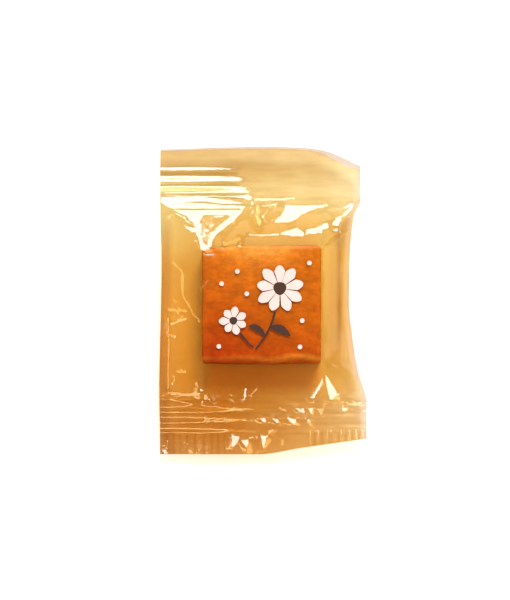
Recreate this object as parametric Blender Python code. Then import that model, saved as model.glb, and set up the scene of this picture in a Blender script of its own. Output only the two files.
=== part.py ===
"""Wrapped caramel candy: one caramel in a flow pack of clear amber film, crimped shut at both ends.

The pack lies on its back on the XY plane with +Z up. Its long side runs along Y, the top seal at +Y, and the
origin is the middle of its footprint. The sealed film and what it holds are one closed solid: a slab of two
film faces, swollen round the caramel, flat and ribbed at the seals. Sizes are in metres.
"""

import math

import bmesh
import bpy

MM = 0.001

# Caramel: a soft square block, a little nearer the bottom seal than the top one.
CARAMEL_WIDTH = 21.4 * MM
CARAMEL_LENGTH = 21.0 * MM
CARAMEL_HEIGHT = 9.5 * MM
CARAMEL_Y = -1.1 * MM
FILM_SLACK = 0.12 * MM
FACE_PUFF = 0.3 * MM

# Pack outline. The two sides list x for a height y, the two ends list y for a place x.
PACK_WIDTH = 37.4 * MM
PACK_LENGTH = 55.6 * MM
HALF_WIDTH = PACK_WIDTH / 2
HALF_LENGTH = PACK_LENGTH / 2
LEFT_SIDE = (
    (-HALF_LENGTH, -18.5 * MM),
    (-16.5 * MM, -HALF_WIDTH),
    (6.0 * MM, -18.3 * MM),
    (17.0 * MM, -18.5 * MM),
    (HALF_LENGTH, -18.6 * MM),
)
RIGHT_SIDE = (
    (-HALF_LENGTH, HALF_WIDTH),
    (-18.6 * MM, HALF_WIDTH),
    (-13.0 * MM, 17.2 * MM),
    (-8.0 * MM, 16.3 * MM),
    (0.0, 15.5 * MM),
    (7.0 * MM, 15.6 * MM),
    (15.0 * MM, 16.3 * MM),
    (18.2 * MM, 17.6 * MM),
    (HALF_LENGTH, 17.6 * MM),
)
TOP_END = (
    (-HALF_WIDTH, 27.3 * MM),
    (1.0 * MM, HALF_LENGTH),
    (8.5 * MM, 27.5 * MM),
    (12.0 * MM, 26.8 * MM),
    (17.6 * MM, 24.2 * MM),
)
BOTTOM_END = (
    (-HALF_WIDTH, -HALF_LENGTH),
    (-1.0 * MM, -HALF_LENGTH),
    (7.0 * MM, -26.6 * MM),
    (HALF_WIDTH, -24.9 * MM),
)

# Seals: both faces welded together and pressed into ribs that run across the pack.
TOP_SEAL_Y = 16.8 * MM
BOTTOM_SEAL_Y = -17.0 * MM
SEAL_THICKNESS = 0.3 * MM
RIB_PITCH = 1.95 * MM
RIB_HEIGHT = 0.22 * MM
RIB_COUNT = 4
RIB_FADE = 0.9 * MM

# How the thin ends bend out of the pack's middle plane: both hang down a little from the seal's own line.
END_TILT = 0.13
END_HINGE = 2.0 * MM
CORNER_DROOP = 1.3 * MM
CORNER_DROOP_RUN = 5.5 * MM
CORNER_FOLD_START = (12.0 * MM, 20.5 * MM)
CORNER_FOLD_ANGLE = math.radians(38)
TWIST = 0.7 * MM
FLUTTER = 0.3 * MM
FLUTTER_PITCH = 13.0 * MM
BEND_RUN = 8.0 * MM

# How the film falls from the caramel's edges: bulging at the folded sides, a little hollow towards the seals.
SIDE_BLUNTNESS = 0.72
END_BLUNTNESS = 1.25
CORNER_SHARPNESS = 3.0

# Pleats that run from the caramel's corners to the seals: the corner, the far end and the height.
PLEAT_WIDTH = 1.8 * MM
PLEATS = (
    ((-1, 1), (-15.0 * MM, 16.0 * MM), 0.55 * MM),
    ((-1, 1), (-3.4 * MM, 15.6 * MM), 0.55 * MM),
    ((1, 1), (14.6 * MM, 15.8 * MM), 0.35 * MM),
    ((1, -1), (12.6 * MM, -16.6 * MM), 0.5 * MM),
    ((-1, -1), (-13.5 * MM, -16.4 * MM), 0.3 * MM),
)

# Steps of the grid that each zone is divided into. The rows run level over the first ribs of a seal, and turn
# towards the end's own outline over the last one.
SIDE_STEPS = 8
CARAMEL_COLUMNS = 10
CARAMEL_ROWS = 6
SLOPE_STEPS = 8
LEVEL_RIBS = RIB_COUNT - 1
RIB_STEPS = 6
END_STEPS = 10

HALF_HEIGHT = CARAMEL_HEIGHT / 2 + FILM_SLACK
MIDDLE_Z = HALF_HEIGHT + SEAL_THICKNESS / 2
FILM_COLOUR = (0.83, 0.47, 0.13, 1.0)
FILM_ROUGHNESS = 0.14


def clamp(value, low=0.0, high=1.0):
    return max(low, min(high, value))


def ease(value):
    """0 to 1 with level ends."""
    t = clamp(value)
    return t * t * (3.0 - 2.0 * t)


def mix(a, b, share):
    return a + (b - a) * share


def slope_between(start, end):
    return (end[1] - start[1]) / (end[0] - start[0])


def slope_at(stations, index):
    """The outline's slope at a station: level where the outline turns back, so that it never overshoots."""
    before = stations[max(index - 1, 0)]
    after = stations[min(index + 1, len(stations) - 1)]
    if before is stations[index] or after is stations[index]:
        return slope_between(before, after)
    slope_in = slope_between(before, stations[index])
    slope_out = slope_between(stations[index], after)
    if slope_in * slope_out <= 0.0:
        return 0.0
    return 2.0 * slope_in * slope_out / (slope_in + slope_out)


def outline(stations, place):
    """A smooth curve through the stations, read at one place."""
    place = clamp(place, stations[0][0], stations[-1][0])
    index = max(i for i in range(len(stations) - 1) if stations[i][0] <= place)
    start, end = stations[index], stations[index + 1]
    run = end[0] - start[0]
    t = (place - start[0]) / run
    rise_in = slope_at(stations, index) * run
    rise_out = slope_at(stations, index + 1) * run
    return (
        (2 * t**3 - 3 * t**2 + 1) * start[1]
        + (t**3 - 2 * t**2 + t) * rise_in
        + (3 * t**2 - 2 * t**3) * end[1]
        + (t**3 - t**2) * rise_out
    )


def edge_shares(x, y):
    """How far a point lies from the caramel towards the side and towards the seal, 0 to 1 each."""
    half_width = CARAMEL_WIDTH / 2
    side = outline(RIGHT_SIDE if x > 0 else LEFT_SIDE, y)
    towards_side = clamp((abs(x) - half_width) / (abs(side) - half_width))
    top = CARAMEL_Y + CARAMEL_LENGTH / 2
    bottom = CARAMEL_Y - CARAMEL_LENGTH / 2
    if y > top:
        towards_seal = (y - top) / (TOP_SEAL_Y - top)
    else:
        towards_seal = (bottom - y) / (bottom - BOTTOM_SEAL_Y)
    return towards_side, clamp(towards_seal)


def swell(x, y):
    """Half the pack's thickness at a point, as a share: 1 over the caramel, 0 at the sides and seals."""
    towards_side, towards_seal = edge_shares(x, y)
    side_part = towards_side**CORNER_SHARPNESS
    seal_part = towards_seal**CORNER_SHARPNESS
    total = side_part + seal_part
    if total <= 0.0:
        return 1.0
    fall = clamp(total ** (1.0 / CORNER_SHARPNESS))
    bluntness = mix(END_BLUNTNESS, SIDE_BLUNTNESS, side_part / total)
    return (1.0 - fall) ** bluntness


def pleat(x, y):
    """Height of the raised pleats at a point."""
    height = 0.0
    for (corner_x, corner_y), (end_x, end_y), rise in PLEATS:
        start_x = corner_x * CARAMEL_WIDTH / 2
        start_y = CARAMEL_Y + corner_y * CARAMEL_LENGTH / 2
        run_x, run_y = end_x - start_x, end_y - start_y
        length = math.hypot(run_x, run_y)
        along = ((x - start_x) * run_x + (y - start_y) * run_y) / length**2
        across = abs((x - start_x) * run_y - (y - start_y) * run_x) / length
        if 0.0 < along < 1.0 and across < PLEAT_WIDTH:
            height += rise * math.sin(math.pi * along) * (1.0 - ease(across / PLEAT_WIDTH))
    return height


def puff(x, y):
    """The slight air cushion between the caramel's upper face and the front film."""
    across = clamp(1.0 - (2 * x / CARAMEL_WIDTH) ** 2)
    along = clamp(1.0 - (2 * (y - CARAMEL_Y) / CARAMEL_LENGTH) ** 2)
    return FACE_PUFF * across * along


def rib(y):
    """Height of the crimp ribs at a distance along the pack: each crest is in the middle of its own pitch."""
    into_seal = y - TOP_SEAL_Y if y > 0.0 else BOTTOM_SEAL_Y - y
    strength = ease(into_seal / RIB_FADE) * ease((RIB_COUNT * RIB_PITCH - into_seal) / RIB_FADE)
    return -RIB_HEIGHT * strength * math.cos(2 * math.pi * into_seal / RIB_PITCH)


def end_bend(x, y):
    """How far the thin ends rise or droop out of the middle plane."""
    past_top = ease((y - TOP_SEAL_Y) / BEND_RUN)
    past_bottom = ease((BOTTOM_SEAL_Y - y) / BEND_RUN)
    beyond = max(y - TOP_SEAL_Y, BOTTOM_SEAL_Y - y, 0.0)
    sag = END_TILT * beyond**2 / (beyond + END_HINGE)
    wave = FLUTTER * math.sin(2 * math.pi * x / FLUTTER_PITCH)
    fold_x, fold_y = CORNER_FOLD_START
    into_corner = (x - fold_x) * math.sin(CORNER_FOLD_ANGLE) + (y - fold_y) * math.cos(CORNER_FOLD_ANGLE)
    droop = CORNER_DROOP * clamp(into_corner / CORNER_DROOP_RUN) ** 2
    twist = TWIST * x / HALF_WIDTH
    return past_top * (wave - droop) + past_bottom * (wave + twist) - sag


def spread(start, end, steps):
    """Evenly spaced places from start up to, but without, end."""
    return [mix(start, end, i / steps) for i in range(steps)]


def row_places():
    """Grid rows from the bottom end to the top end, as (share of the way from the level rows to the end, y)."""
    caramel_bottom = CARAMEL_Y - CARAMEL_LENGTH / 2
    caramel_top = CARAMEL_Y + CARAMEL_LENGTH / 2
    level_bottom = BOTTOM_SEAL_Y - LEVEL_RIBS * RIB_PITCH
    level_top = TOP_SEAL_Y + LEVEL_RIBS * RIB_PITCH
    rib_rows = LEVEL_RIBS * RIB_STEPS
    rows = [(share, level_bottom) for share in spread(-1.0, 0.0, END_STEPS)]
    rows += [(0.0, y) for y in spread(level_bottom, BOTTOM_SEAL_Y, rib_rows)]
    rows += [(0.0, y) for y in spread(BOTTOM_SEAL_Y, caramel_bottom, SLOPE_STEPS)]
    rows += [(0.0, y) for y in spread(caramel_bottom, caramel_top, CARAMEL_ROWS)]
    rows += [(0.0, y) for y in spread(caramel_top, TOP_SEAL_Y, SLOPE_STEPS)]
    rows += [(0.0, y) for y in spread(TOP_SEAL_Y, level_top, rib_rows)]
    rows += [(i / END_STEPS, level_top) for i in range(END_STEPS + 1)]
    return rows


def column_places():
    """Grid columns from left to right, as (share of the side zone outside the caramel, x)."""
    half_width = CARAMEL_WIDTH / 2
    columns = [(share, -half_width) for share in spread(-1.0, 0.0, SIDE_STEPS)]
    columns += [(0.0, x) for x in spread(-half_width, half_width, CARAMEL_COLUMNS)]
    columns += [(i / SIDE_STEPS, half_width) for i in range(SIDE_STEPS + 1)]
    return columns


def plan_point(column, row):
    """Where a grid crossing lies on the pack's plan."""
    side_share, x = column
    end_share, y = row
    if side_share < 0.0:
        x = mix(x, outline(LEFT_SIDE, y), -side_share)
    elif side_share > 0.0:
        x = mix(x, outline(RIGHT_SIDE, y), side_share)
    if end_share < 0.0:
        y = mix(y, outline(BOTTOM_END, x), -end_share)
    elif end_share > 0.0:
        y = mix(y, outline(TOP_END, x), end_share)
    return x, y


def film_height(x, y, front):
    """Height of the pack's front or back face above the surface that it lies on."""
    share = swell(x, y)
    half = SEAL_THICKNESS / 2 + HALF_HEIGHT * share
    middle = MIDDLE_Z + end_bend(x, y) + rib(y)
    if front:
        return middle + half + puff(x, y) + pleat(x, y)
    return middle - half


def amber_film():
    material = bpy.data.materials.new("amber_film")
    material.use_nodes = True
    shader = material.node_tree.nodes["Principled BSDF"]
    shader.inputs["Base Color"].default_value = FILM_COLOUR
    shader.inputs["Roughness"].default_value = FILM_ROUGHNESS
    return material


def build_pack(collection):
    """The sealed pack: a grid made into a slab, each of whose points is moved to its place on the film."""
    columns, rows = column_places(), row_places()
    shape = bmesh.new()
    bmesh.ops.create_grid(shape, x_segments=len(columns) - 1, y_segments=len(rows) - 1, size=1.0)
    front = bmesh.ops.extrude_face_region(shape, geom=shape.faces[:], use_keep_orig=True)
    front_points = {item for item in front["geom"] if isinstance(item, bmesh.types.BMVert)}
    for point in shape.verts:
        column = columns[round((point.co.x + 1.0) / 2.0 * (len(columns) - 1))]
        row = rows[round((point.co.y + 1.0) / 2.0 * (len(rows) - 1))]
        x, y = plan_point(column, row)
        point.co = (x, y, film_height(x, y, point in front_points))
    bmesh.ops.recalc_face_normals(shape, faces=shape.faces[:])
    mesh = bpy.data.meshes.new("film_pack")
    shape.to_mesh(mesh)
    shape.free()
    mesh.materials.append(amber_film())
    mesh.shade_smooth()
    mesh.set_sharp_from_angle(angle=math.radians(40))
    collection.objects.link(bpy.data.objects.new("film_pack", mesh))


def main():
    for item in list(bpy.data.objects):
        bpy.data.objects.remove(item)
    collection = bpy.data.collections.new("wrapped_caramel")
    bpy.context.scene.collection.children.link(collection)
    build_pack(collection)


main()
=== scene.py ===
"""Looks of the wrapped caramel candy: clear amber film, the caramel in it, the print, light and camera.

Everything is measured in millimetres in the pack's own frame, and made in metres. The pack lies on its back.
+Y runs along it to the top seal, and the camera looks straight down on it.
"""

import math
from functools import partial

import bmesh
import bpy
import numpy as np
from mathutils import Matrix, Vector, noise


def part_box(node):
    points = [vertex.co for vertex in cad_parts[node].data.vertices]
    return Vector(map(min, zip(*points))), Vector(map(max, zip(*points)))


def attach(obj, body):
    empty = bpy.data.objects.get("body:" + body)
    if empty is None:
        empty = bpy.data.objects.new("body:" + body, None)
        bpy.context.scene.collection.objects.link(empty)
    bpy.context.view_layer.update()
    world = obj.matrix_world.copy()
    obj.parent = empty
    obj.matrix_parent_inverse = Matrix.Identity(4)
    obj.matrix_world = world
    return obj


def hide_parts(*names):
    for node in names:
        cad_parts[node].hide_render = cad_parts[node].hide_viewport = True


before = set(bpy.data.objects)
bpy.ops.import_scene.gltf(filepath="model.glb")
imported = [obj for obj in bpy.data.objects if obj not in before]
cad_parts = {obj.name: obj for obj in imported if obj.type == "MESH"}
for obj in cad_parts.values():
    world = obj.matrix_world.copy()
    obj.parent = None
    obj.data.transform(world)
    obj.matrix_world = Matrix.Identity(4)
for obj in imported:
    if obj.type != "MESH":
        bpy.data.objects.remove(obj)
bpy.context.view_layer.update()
MM = 0.001

# Caramel block, and the slack and the slight air cushion of the film over it.
CARAMEL_WIDTH = 21.4
CARAMEL_LENGTH = 21.0
CARAMEL_HEIGHT = 9.5
CARAMEL_Y = -1.1
CARAMEL_TOP = CARAMEL_Y + CARAMEL_LENGTH / 2
CARAMEL_BOTTOM = CARAMEL_Y - CARAMEL_LENGTH / 2
FILM_SLACK = 0.12
FACE_PUFF = 0.3

# Caramel surface: the radius of its edges, the sag of its lower edge, the bulge of its upper edge, how it
# lies in the film, and its unevenness.
EDGE_RADIUS = 0.8
LOWER_EDGE_RUN = 2.2
LOWER_EDGE_DROP = 0.9
TOP_EDGE_BULGE = 0.75
TOP_EDGE_MIDDLE = 3.0
TOP_EDGE_REACH = 14.0
TOP_EDGE_SHARES = (0.4, 1.0)
CARAMEL_SHIFT = -0.28
CARAMEL_SPREAD = 0.02
SKIN_INSET = 0.1
CARAMEL_CUTS = 6
PULL_MARK_DEPTH = 0.04
PULL_MARK_WAVES = (0.4, 1.9, 1.6)
LUMP_HEIGHT = 0.16
LUMP_WAVES = 0.17
LUMP_PLACE = (3.1, 0.0, 7.7)

# Pack outline. The two sides list x for a height y, the two ends list y for a place x.
lowest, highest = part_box("film_pack")
HALF_WIDTH = (highest.x - lowest.x) / 2 / MM
HALF_LENGTH = (highest.y - lowest.y) / 2 / MM
LEFT_SIDE = ((-HALF_LENGTH, -18.5), (-16.5, -HALF_WIDTH), (6.0, -18.3), (17.0, -18.5), (HALF_LENGTH, -18.6))
RIGHT_SIDE = (
    (-HALF_LENGTH, HALF_WIDTH),
    (-18.6, HALF_WIDTH),
    (-13.0, 17.2),
    (-8.0, 16.3),
    (0.0, 15.5),
    (7.0, 15.6),
    (15.0, 16.3),
    (18.2, 17.6),
    (HALF_LENGTH, 17.6),
)
TOP_END = ((-HALF_WIDTH, 27.3), (1.0, HALF_LENGTH), (8.5, 27.5), (12.0, 26.8), (17.6, 24.2))
BOTTOM_END = ((-HALF_WIDTH, -HALF_LENGTH), (-1.0, -HALF_LENGTH), (7.0, -26.6), (HALF_WIDTH, -24.9))

# The back film was cut a little shorter at the top seal, so the front film alone makes a pale rim there.
BACK_TOP_END = (
    (-HALF_WIDTH, 27.0),
    (1.0, 27.45),
    (8.5, 27.1),
    (10.5, 26.6),
    (13.2, 25.2),
    (15.4, 24.0),
    (17.6, 23.8),
)

# Seals and their ribs, which are pressed hardest at the left of the top seal. The film is darker between
# them as painted shade, from a faint rib on to a full one.
TOP_SEAL_Y = 16.8
BOTTOM_SEAL_Y = -17.0
FILM_GAP = 0.06
GAP_CLOSE = 0.4
RIB_PITCH = 1.95
RIB_COUNT = 4
RIB_FADE = 0.9
RIB_CREST = 0.35
TOP_RIB_HEIGHT = (
    (-HALF_WIDTH, 0.112),
    (-12.0, 0.110),
    (-8.5, 0.098),
    (-6.5, 0.082),
    (-5.0, 0.062),
    (-3.0, 0.009),
    (HALF_WIDTH, 0.006),
)
TOP_RIB_SHARE = ((1.0, 0.8), (2.9, 1.0), (4.9, 0.93), (6.8, 0.64))
BOTTOM_RIB_HEIGHT = ((-HALF_WIDTH, 0.048), (-6.6, 0.047), (-5.0, 0.018), (4.0, 0.024), (HALF_WIDTH, 0.046))
BOTTOM_RIB_SHIFT = 0.39
FAINT_RIB = 0.022
FULL_RIB = 0.06

# How the thin ends bend out of the pack's middle plane.
END_TILT = 0.13
END_HINGE = 2.0
CORNER_DROOP = 0.09
CORNER_DROOP_RUN = 1.9
CORNER_FOLD_START = (9.6, 25.6)
CORNER_FOLD_ANGLE = math.radians(23)
TWIST = 0.7
FLUTTER = 0.12
FLUTTER_PITCH = 13.0
BEND_RUN = 8.0

# How the film falls from the caramel's edges: straight to the seals and at the left, bulging at the right.
LEFT_BLUNTNESS = 1.0
RIGHT_BLUNTNESS = 0.68
END_BLUNTNESS = 1.0
CORNER_SHARPNESS = 3.0
LOWER_FALL_START = CARAMEL_BOTTOM + 1.2

# Loose waves of the film where nothing presses on it: waves a millimetre across and along, and the phase.
LOOSE_HEIGHT = 0.05
LOOSE_WAVES = ((0.11, 0.05, 0.4), (-0.05, 0.13, 2.1), (0.19, -0.08, 4.0), (0.07, 0.21, 5.2))

HALF_HEIGHT = CARAMEL_HEIGHT / 2 + FILM_SLACK
CAD_SEAL_HALF = 0.15
MIDDLE_Z = HALF_HEIGHT + CAD_SEAL_HALF

# Film grid, in cells across and along.
FRONT_CELLS = (264, 376)
BACK_CELLS = (176, 252)

# What one layer of film lets through at its left and at its right, from the bottom seal to the top one.
# Besides the film's own tint, the tones hold painted light. They are lighter above the caramel and on the
# top seal as a painted sheen, lighter on the right as painted light from that side, and darker at the
# bottom seal as painted shade.
FILM_LEFT_TONES_AND_LIGHT = (
    (-26.0, (0.838, 0.628, 0.342)),
    (-20.0, (0.841, 0.631, 0.334)),
    (-12.0, (0.880, 0.675, 0.332)),
    (-3.0, (0.916, 0.728, 0.362)),
    (6.0, (0.898, 0.732, 0.410)),
    (12.5, (0.918, 0.820, 0.556)),
    (21.0, (0.897, 0.828, 0.614)),
    (24.5, (0.806, 0.666, 0.394)),
    (27.5, (0.756, 0.614, 0.360)),
)
FILM_RIGHT_TONES_AND_LIGHT = (
    (-26.0, (0.905, 0.740, 0.470)),
    (-20.0, (0.924, 0.812, 0.628)),
    (-14.0, (0.885, 0.738, 0.445)),
    (0.0, (0.900, 0.752, 0.386)),
    (8.0, (0.910, 0.775, 0.405)),
    (12.5, (0.888, 0.765, 0.458)),
    (20.0, (0.940, 0.889, 0.724)),
    (24.5, (0.862, 0.755, 0.515)),
    (27.5, (0.800, 0.670, 0.430)),
)

# Where the left tones end and the right ones are whole, and how far that border slants along the pack.
FILM_SIDES = (-12.0, 12.0)
FILM_SLANT = 0.25

# What the tint is multiplied by. It is darker in folds and lighter just below the caramel, as a painted glow
# of the caramel's orange light. It is darker at the rim of one layer and lighter in the strip right of the
# caramel, as a painted pool of light. It is darker between ribs and flutes, as painted shade.
ZONE_TINTS_AND_LIGHT = {
    "darker_fold": (0.88, 0.80, 0.76, 1.0),
    "painted_caramel_glow": (1.08, 0.98, 0.90, 1.0),
    "free_rim": (0.66, 0.65, 0.74, 1.0),
    "painted_lit_channel": (1.045, 1.065, 1.11, 1.0),
    "crimp_valley_shade": (0.940, 0.905, 0.82, 1.0),
}

# The same in soft clouds all over, and along fine lines in the seals: the factor, how many there are in a
# metre, and the noise values between which they come up.
FILM_CLOUD = (0.985, 0.966, 0.946, 1.0)
CLOUDS_PER_METRE = 260.0
CLOUD_SPREAD = (0.35, 0.65)
FILM_PRESSED = (0.97, 0.955, 0.93, 1.0)
LINES_PER_METRE = 800.0
LINE_SPREAD = (0.4, 0.65)
LINE_STRETCH = (0.25, 1.6, 1.0)

# A zone is made of fades. Each reads x, y or the gap to a side, from where it is nothing to where it is
# whole.
ZONE_FADES = {
    "left_fold": (("left_gap", 2.5, 0.9), ("y", 17.0, 11.0)),
    "left_edge": (("left_gap", 0.8, 0.4), ("y", 8.0, 4.0), ("y", -17.0, -13.0)),
    "lower_left_corner": (("left_gap", 3.4, 1.2), ("y", -21.5, -24.0)),
    "top_right_fold": (("right_gap", 1.1, 0.6), ("y", 16.5, 18.0)),
    "right_crease": (("y", 15.0, 12.0), ("y", -11.0, -5.0)),
    "right_crease_widens": (("y", 9.0, 15.0),),
    "milky_fold": (("right_gap", 1.5, 0.4),),
    "lower_milk": (("y", -4.0, -10.0),),
    "painted_lit_channel": (("x", 10.2, 10.5), ("x", 12.6, 11.4), ("y", 10.5, 9.0), ("y", -12.0, -9.5)),
    "painted_caramel_glow": (
        ("y", CARAMEL_BOTTOM + 0.6, CARAMEL_BOTTOM - 0.6),
        ("y", -17.2, -14.6),
        ("x", -11.2, -9.2),
        ("x", 11.6, 9.1),
    ),
    "top_press": (("y", TOP_SEAL_Y, TOP_SEAL_Y + 0.8),),
    "bottom_press": (("y", BOTTOM_SEAL_Y, BOTTOM_SEAL_Y - 0.8),),
    "left_flutes": (("x", -4.5, -6.5), ("y", -23.4, -23.9)),
    "right_flutes": (("x", 7.5, 9.5), ("y", -23.4, -23.9)),
}
RIM_FADE = (-0.075, 0.075)

# How much darker each fold is. The right crease is a soft band, and behind_fold is the film just behind the
# fold at the upper right.
FOLD_STRENGTHS = {
    "left_fold": 0.7,
    "lower_left_corner": 0.7,
    "top_right_fold": 0.42,
    "behind_fold": 0.63,
    "left_edge": 1.0,
    "right_crease": 1.0,
}
RIGHT_CREASE_X = 13.7
RIGHT_CREASE_WIDTHS = (0.45, 1.1)
BEHIND_FOLD = ((13.6, 12.2), (15.2, 12.4), (15.7, 15.2), (14.9, 14.6))
BEHIND_FOLD_GROWTH = 0.1

# Its milky tone, and how much of it lies on the right fold (above and below) and on the free rim.
FILM_MILK = (1.0, 0.62, 0.76, 1.0)
MILKY_FOLD_SHARES = (0.62, 1.2)
FOLD_HAZE = 0.15
RIM_HAZE = 0.1

# What it reflects head on, how rough and rippled that reflection is, and the angle that makes a sharp
# crease.
FILM_REFLECTANCE = 0.08
FILM_ROUGHNESS = 0.1
RIPPLES_PER_METRE = 900.0
RIPPLE_STRENGTH = 0.28
SHARP_CREASE = math.radians(14)

# Camera: straight above the pack, with the photograph's frame 108 mm high.
CAMERA_AT = (-1.44, 0.09)
CAMERA_DISTANCE = 600.0
VIEW_LENGTH = 108.0
VIEW_PLANE_Z = 6.0
SENSOR = 36.0

# Lamps: where each is, its size, its radiance and its colour. The weaker ones shine off warm walls and
# cards.
LAMPS = {
    "window": ((-60, 430, 540), (420, 210), 12.0, (1.0, 1.0, 1.0)),
    "corner_lamp": ((380, -380, 480), (210, 170), 12.0, (1.0, 0.97, 0.88)),
    "south_card": ((0, -450, 780), (560, 80), 7.0, (1.0, 0.90, 0.45)),
    "west_panel": ((-426, -304, 670), (200, 150), 6.0, (1.0, 0.85, 0.48)),
    "amber_card": ((-320, 240, 750), (150, 110), 4.5, (1.0, 0.76, 0.28)),
    "overhead": ((0, 240, 850), (520, 260), 1.3, (1.0, 0.88, 0.65)),
    "back_wall": ((0, 760, 230), (900, 420), 1.5, (1.0, 0.85, 0.55)),
    "side_wall": ((760, 0, 170), (420, 300), 1.2, (1.0, 0.85, 0.65)),
}

# The lamp that lights the pack stands at its upper right. The gloss sees the others, and not this one.
KEY_LAMP = ((105, 500, 790), (280, 280), 33.0, (1.0, 1.0, 1.0))
AMBIENT = 1.07
AMBIENT_IN_GLOSS = 0.02
FLOOR_GREY = 0.95

# Flat faces of the creased front film, each as its corners in order. These show the camera the window.
WINDOW_FACES = (
    # The white band at the left of the top seal.
    ((-18.45, 18.63), (-10.44, 18.63), (-10.44, 17.95), (-14.94, 17.73), (-18.45, 17.51)),
    ((-10.44, 18.63), (-5.58, 17.95), (-3.06, 17.41), (-7.56, 17.44), (-10.44, 17.95)),
    ((-18.18, 17.44), (-14.4, 17.51), (-9.54, 17.33), (-3.06, 17.01), (-3.42, 16.49), (-16.56, 16.54)),
    ((-16.2, 16.29), (-3.6, 16.29), (-4.05, 15.46), (-10.44, 15.32), (-14.22, 15.32)),
    # The two arms that run from the band to the caramel's corner, the foot where they meet, and a branch.
    ((-14.04, 15.46), (-10.62, 15.46), (-11.34, 14.22), (-11.34, 13.41), (-12.15, 13.5), (-12.96, 14.4)),
    ((-12.15, 13.77), (-11.34, 13.77), (-11.16, 12.33), (-10.69, 10.35), (-11.27, 10.08), (-11.88, 11.97)),
    ((-5.8, 15.2), (-3.4, 17.0), (-4.1, 15.5), (-5.4, 14.2), (-7.1, 12.9), (-7.6, 13.8)),
    ((-7.6, 13.8), (-7.1, 12.9), (-8.4, 11.8), (-9.3, 12.1), (-8.5, 13.1)),
    ((-9.3, 12.1), (-8.4, 11.8), (-9.1, 10.4), (-9.3, 9.4), (-10.0, 9.7), (-9.9, 10.8)),
    ((-11.3, 10.17), (-10.66, 10.46), (-10.08, 9.88), (-8.93, 8.51), (-9.99, 8.48), (-11.07, 9.16)),
    ((-14.4, 13.6), (-13.2, 13.2), (-12.1, 12.7), (-11.9, 12.2), (-12.8, 12.4), (-13.8, 12.9)),
    # The patch below the top seal at the right.
    ((4.25, 17.26), (11.65, 17.19), (11.65, 16.97), (9.54, 16.61), (7.02, 15.93), (3.85, 16.25)),
    ((3.85, 16.4), (8.28, 16.11), (6.84, 15.32), (5.72, 14.42), (4.5, 14.06), (1.87, 14.1), (3.11, 15.1)),
    # The jagged streak above the caramel.
    ((3.11, 12.15), (4.5, 12.65), (6.2, 13.1), (7.38, 12.35), (7.38, 11.59), (5.99, 11.52), (3.96, 11.63)),
    (
        (7.6, 12.33), (8.21, 12.91), (9.59, 13.19), (11.11, 13.99),
        (11.65, 13.95), (11.79, 13.05), (9.31, 12.08),
    ),
    # The fold that runs to the upper right corner.
    ((12.31, 13.68), (13.14, 14.74), (14.4, 15.57), (13.95, 14.58), (13.61, 13.32), (12.87, 13.48)),
    ((14.13, 15.39), (15.34, 16.51), (16.25, 16.97), (15.93, 16.22), (14.76, 15.21)),
    ((12.42, 12.55), (13.03, 12.91), (13.32, 12.33)),
    # The turned-up lower left corner.
    ((-18.36, -26.73), (-17.82, -26.8), (-17.21, -27.7), (-17.86, -27.7)),
)

# These show it the corner lamp.
CORNER_LAMP_FACES = (
    # The fan of two pleats at the lower right corner.
    ((11.2, -13.3), (11.8, -14.2), (12.8, -15.8), (14.0, -17.8), (12.1, -17.8), (11.5, -15.4)),
    ((10.8, -14.0), (10.6, -15.1), (9.2, -17.6), (8.5, -17.6), (9.6, -16.3), (10.4, -14.5)),
    # Two rows of slanting glints in the bottom seal.
    ((5.94, -19.46), (7.27, -19.53), (7.7, -20.21), (6.52, -20.07)),
    ((8.14, -19.35), (9.16, -19.39), (9.29, -20.16), (8.91, -20.72), (8.42, -20.11)),
    ((9.76, -19.6), (11.09, -19.49), (10.8, -20.16), (10.49, -20.72)),
    ((14.15, -19.46), (15.52, -19.49), (14.85, -20.14)),
    ((-0.47, -21.22), (0.45, -21.4), (0.61, -22.05), (-0.07, -21.98)),
    ((1.69, -21.26), (2.74, -21.51), (3.31, -22.3), (2.52, -22.12)),
    ((4.43, -21.15), (5.63, -21.37), (6.73, -22.52), (5.87, -22.52), (4.86, -21.76)),
    ((7.6, -21.15), (8.28, -21.51), (8.96, -22.52), (8.5, -22.55)),
    # Dents in the flat margin below the ribs.
    ((-5.58, -24.39), (-4.32, -24.39), (-4.39, -25.11), (-4.86, -26.3), (-5.51, -26.44)),
    ((-3.85, -25.36), (-2.92, -25.07), (-2.23, -25.83), (-2.05, -26.73), (-2.88, -26.84)),
    ((-2.95, -26.37), (-2.09, -26.19), (-1.98, -27.56), (-2.41, -27.7), (-3.13, -27.63)),
    ((-0.31, -24.46), (0.58, -24.34), (1.55, -25.18), (0.97, -26.12), (0.32, -27.13), (-0.11, -26.1)),
)

# These show it the west panel.
WEST_PANEL_FACES = (
    # Spots along the start of the bottom seal.
    ((-12.53, -16.72), (-11.88, -16.54), (-11.41, -16.83), (-11.45, -17.66), (-12.24, -17.62)),
    ((-10.69, -17.01), (-10.19, -16.94), (-9.9, -17.69), (-10.15, -17.95), (-10.55, -17.84)),
    ((-6.12, -17.84), (-5.29, -17.87), (-5.29, -18.34), (-5.83, -18.34)),
    ((-6.16, -16.9), (-5.11, -17.19), (-5.76, -17.37)),
    # One glint of the two rows in the bottom seal.
    ((3.17, -19.53), (4.14, -19.64), (4.21, -19.96), (3.24, -19.89)),
    # One dent in the flat margin below the ribs.
    ((3.13, -25.11), (3.71, -25.11), (3.53, -26.44), (3.2, -26.44)),
)

# All the faces by their lamp, with how far their lit part reaches past their drawn corners.
FRONT_FACES = (
    ("window", 0.05, WINDOW_FACES),
    ("corner_lamp", 0.12, CORNER_LAMP_FACES),
    ("west_panel", 0.12, WEST_PANEL_FACES),
)

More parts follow.
